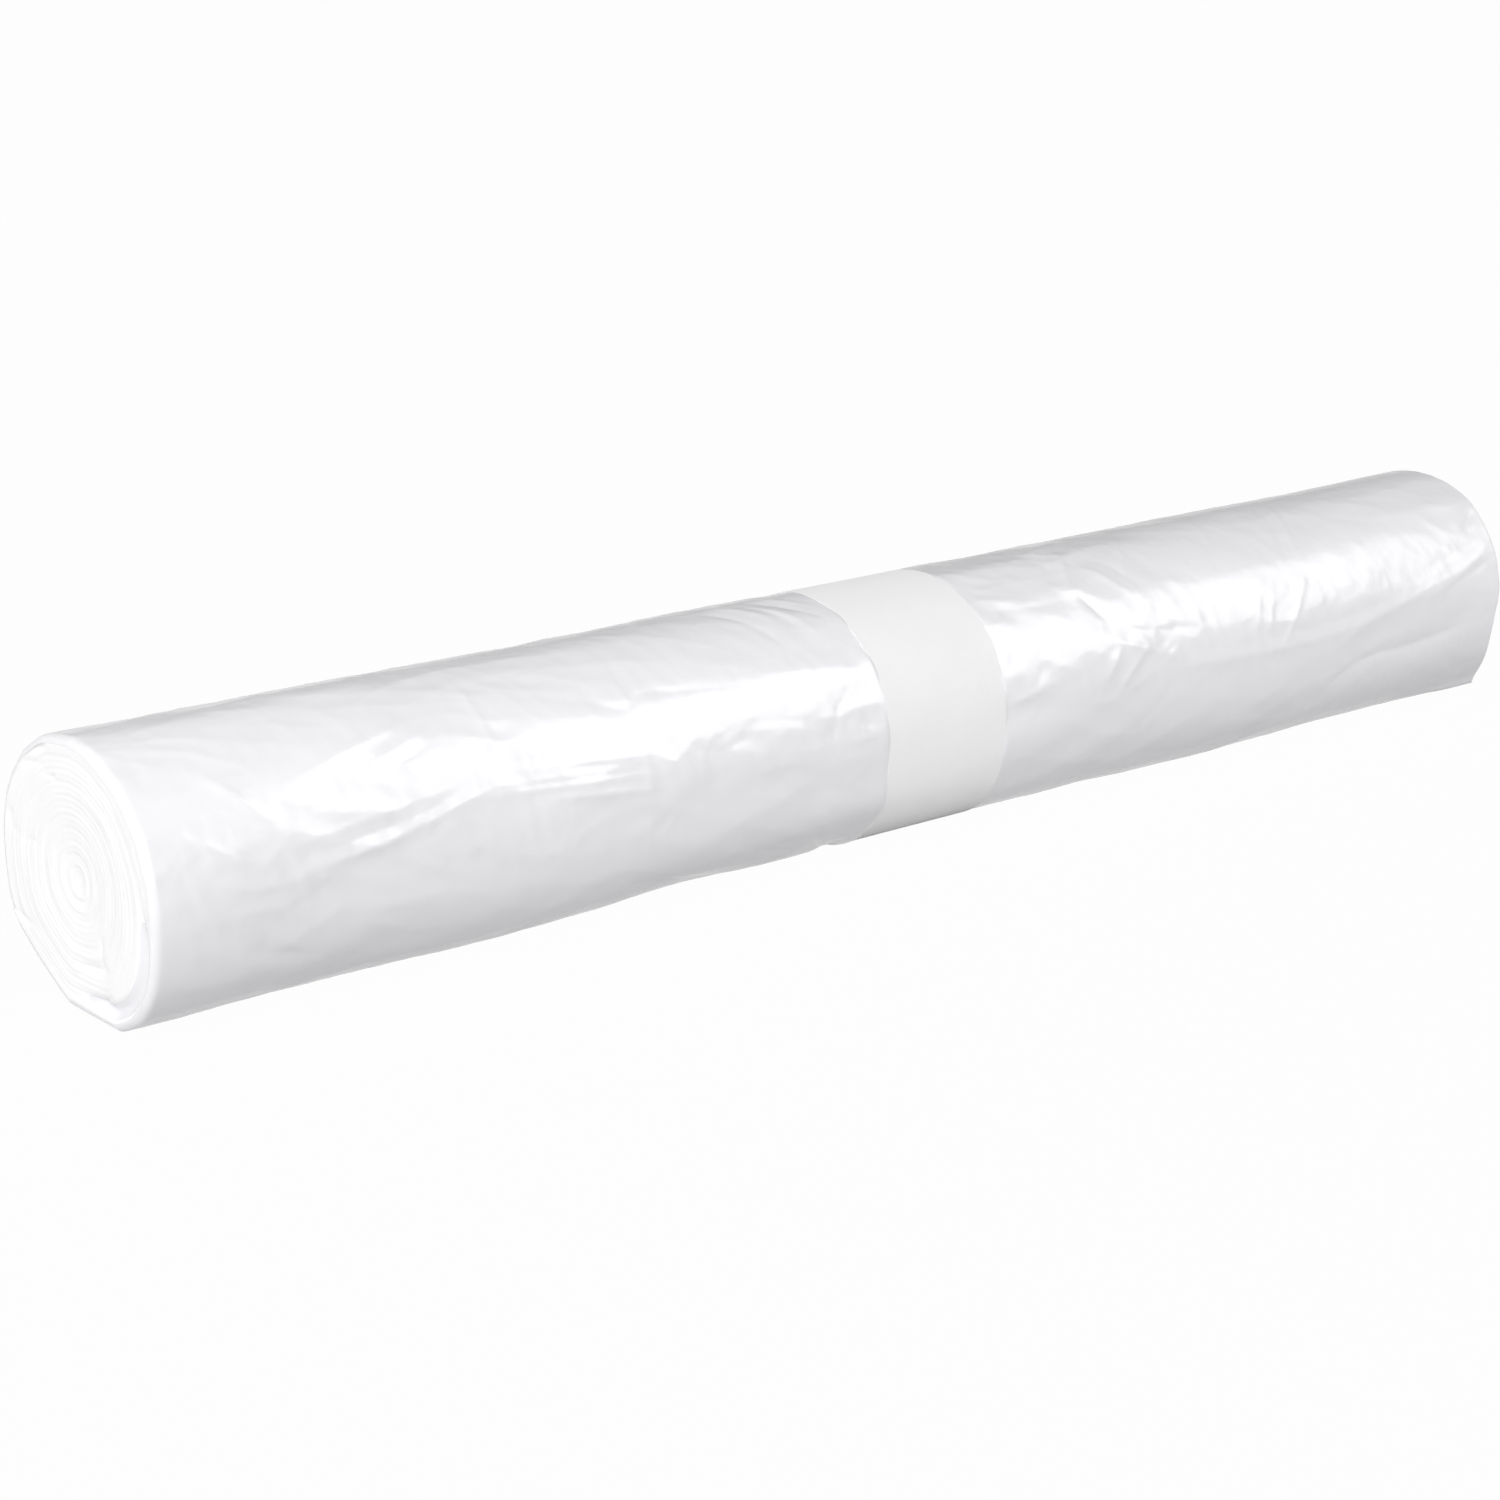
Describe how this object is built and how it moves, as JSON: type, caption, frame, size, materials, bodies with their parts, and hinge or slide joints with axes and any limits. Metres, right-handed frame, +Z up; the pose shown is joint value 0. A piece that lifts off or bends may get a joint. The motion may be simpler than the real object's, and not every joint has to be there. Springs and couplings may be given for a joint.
{
  "type": "bin bag roll",
  "caption": "Long soft roll of folded translucent film bags lying on a flat spot, wound in a spiral that shows at both ends and gathered under a plain paper band.",
  "frame": {"origin": "middle of the roll's length and width, on the surface that its flat underside rests on", "axes": "+X along the roll towards the end that is nearer to the band, -Y towards the roll's fuller side, +Z up"},
  "size_m": [0.35, 0.0528, 0.0494],
  "materials": {
    "film": "glossy translucent white film",
    "band_paper": "matte white uncoated paper"
  },
  "bodies": {
    "root": {"bag_roll": "film", "paper_band": "band_paper"}
  },
  "joints": []
}
